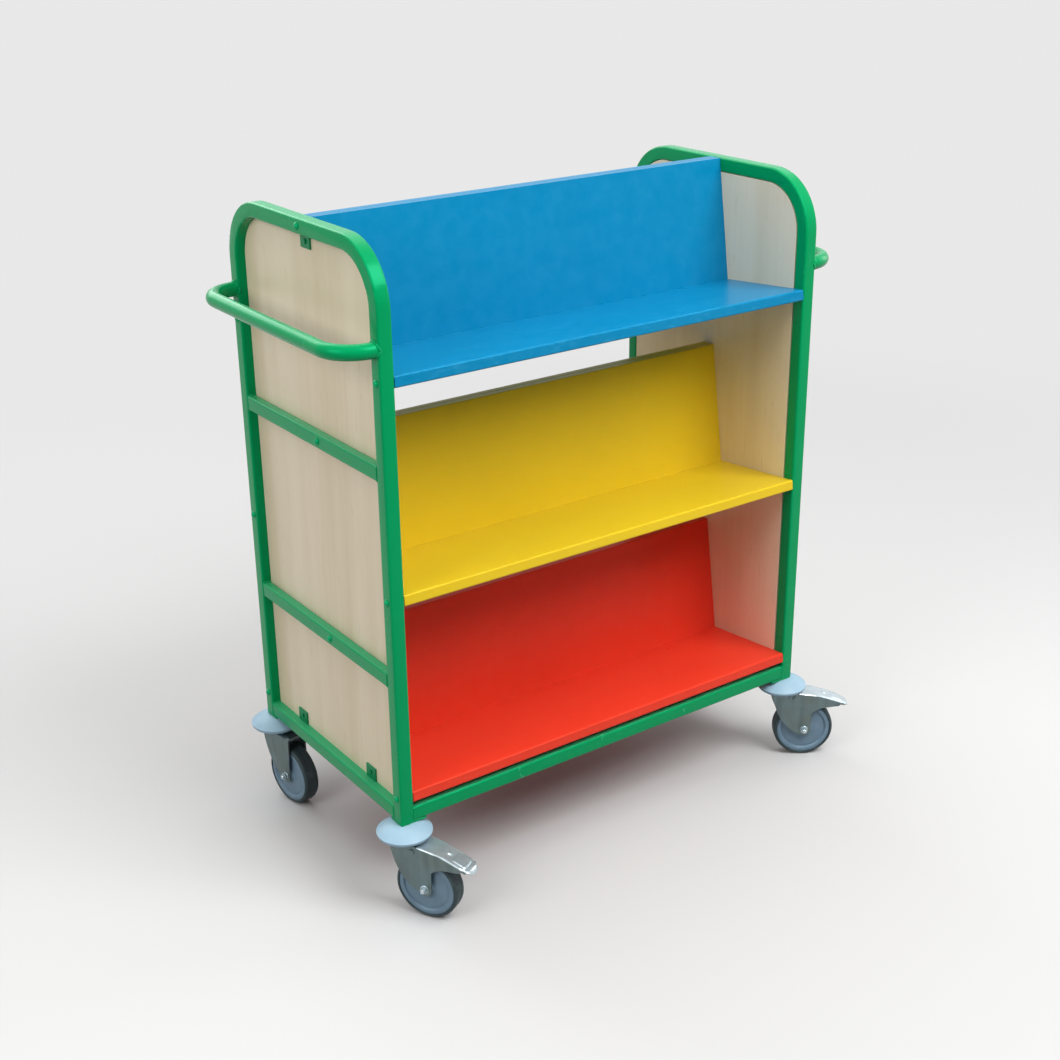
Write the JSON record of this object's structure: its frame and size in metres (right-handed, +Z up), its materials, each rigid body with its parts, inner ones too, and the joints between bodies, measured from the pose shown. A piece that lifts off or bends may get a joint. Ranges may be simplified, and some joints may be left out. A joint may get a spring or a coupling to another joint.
{
  "type": "book trolley",
  "caption": "Double-sided book trolley with sloping coloured shelves, tube end frames with wood panels, end handles and swivel casters with bumpers.",
  "frame": {"origin": "on the floor, under the middle of the frame", "axes": "+Z up, +X along the shelves to the right as seen from the front, -Y towards the front side, the one with the two braked casters"},
  "size_m": [1.0582, 0.6268, 1.132],
  "materials": {
    "frame_paint": "glossy green powder coat",
    "panel_wood": "pale birch, satin lacquer",
    "blue_board": "blue laminate, satin",
    "yellow_board": "yellow laminate, satin",
    "red_board": "red laminate, satin",
    "zinc": "bright zinc plate",
    "wheel_plastic": "grey-blue moulded plastic",
    "tyre_rubber": "dark grey rubber, matt",
    "bumper_plastic": "pale blue-grey soft plastic"
  },
  "bodies": {
    "trolley": {"left_hoop": "frame_paint", "left_upper_rail": "frame_paint", "left_lower_rail": "frame_paint", "left_bottom_rail": "frame_paint", "left_handle": "frame_paint", "left_panel": "panel_wood", "right_hoop": "frame_paint", "right_upper_rail": "frame_paint", "right_lower_rail": "frame_paint", "right_bottom_rail": "frame_paint", "right_handle": "frame_paint", "right_panel": "panel_wood", "front_bottom_rail": "frame_paint", "rear_bottom_rail": "frame_paint", "panel_tabs": "frame_paint", "tab_screws": "frame_paint", "shelf_bolts": "frame_paint", "rail_bolts": "frame_paint", "foot_plates": "frame_paint", "top_front_shelf": "blue_board", "top_front_back": "blue_board", "top_rear_shelf": "blue_board", "top_rear_back": "blue_board", "middle_front_shelf": "yellow_board", "middle_front_back": "yellow_board", "middle_rear_shelf": "yellow_board", "middle_rear_back": "yellow_board", "bottom_front_shelf": "red_board", "bottom_front_back": "red_board", "bottom_rear_shelf": "red_board", "bottom_rear_back": "red_board", "caster_stems": "zinc", "swivel_bearings": "zinc", "front_left_bumper": "bumper_plastic", "front_right_bumper": "bumper_plastic", "rear_left_bumper": "bumper_plastic", "rear_right_bumper": "bumper_plastic"},
    "front_left_swivel": {"front_left_fork": "zinc", "front_left_axle": "zinc", "front_left_pedal_pin": "zinc"},
    "front_left_roller": {"front_left_wheel": "wheel_plastic", "front_left_tyre": "tyre_rubber"},
    "front_left_brake": {"front_left_pedal": "zinc", "front_left_shoe": "tyre_rubber"},
    "front_right_swivel": {"front_right_fork": "zinc", "front_right_axle": "zinc", "front_right_pedal_pin": "zinc"},
    "front_right_roller": {"front_right_wheel": "wheel_plastic", "front_right_tyre": "tyre_rubber"},
    "front_right_brake": {"front_right_pedal": "zinc", "front_right_shoe": "tyre_rubber"},
    "rear_left_swivel": {"rear_left_fork": "zinc", "rear_left_axle": "zinc"},
    "rear_left_roller": {"rear_left_wheel": "wheel_plastic", "rear_left_tyre": "tyre_rubber"},
    "rear_right_swivel": {"rear_right_fork": "zinc", "rear_right_axle": "zinc"},
    "rear_right_roller": {"rear_right_wheel": "wheel_plastic", "rear_right_tyre": "tyre_rubber"}
  },
  "joints": [
    {"name": "front_left_swivel_turn", "type": "hinge", "parent": "trolley", "child": "front_left_swivel", "pos_m": [-0.4275, -0.2285, 0.14], "axis": [0, 0, 1], "continuous": true},
    {"name": "front_left_wheel_roll", "type": "hinge", "parent": "front_left_swivel", "child": "front_left_roller", "pos_m": [-0.40568, -0.26786, 0.0575], "axis": [0.8746, 0.4848, 0], "continuous": true},
    {"name": "front_left_pedal_press", "type": "hinge", "parent": "front_left_swivel", "child": "front_left_brake", "pos_m": [-0.41586, -0.24949, 0.1267], "axis": [0.8746, 0.4848, 0], "range_deg": [0, 12]},
    {"name": "front_right_swivel_turn", "type": "hinge", "parent": "trolley", "child": "front_right_swivel", "pos_m": [0.4275, -0.2285, 0.14], "axis": [0, 0, 1], "continuous": true},
    {"name": "front_right_wheel_roll", "type": "hinge", "parent": "front_right_swivel", "child": "front_right_roller", "pos_m": [0.46524, -0.25301, 0.0575], "axis": [0.5446, 0.8387, 0], "continuous": true},
    {"name": "front_right_pedal_press", "type": "hinge", "parent": "front_right_swivel", "child": "front_right_brake", "pos_m": [0.44763, -0.24157, 0.1267], "axis": [0.5446, 0.8387, 0], "range_deg": [0, 12]},
    {"name": "rear_left_swivel_turn", "type": "hinge", "parent": "trolley", "child": "rear_left_swivel", "pos_m": [-0.4275, 0.2285, 0.14], "axis": [0, 0, 1], "continuous": true},
    {"name": "rear_left_wheel_roll", "type": "hinge", "parent": "rear_left_swivel", "child": "rear_left_roller", "pos_m": [-0.42124, 0.18394, 0.0575], "axis": [0.9903, 0.1392, 0], "continuous": true},
    {"name": "rear_right_swivel_turn", "type": "hinge", "parent": "trolley", "child": "rear_right_swivel", "pos_m": [0.4275, 0.2285, 0.14], "axis": [0, 0, 1], "continuous": true},
    {"name": "rear_right_wheel_roll", "type": "hinge", "parent": "rear_right_swivel", "child": "rear_right_roller", "pos_m": [0.45643, 0.19403, 0.0575], "axis": [0.766, 0.6428, 0], "continuous": true}
  ]
}
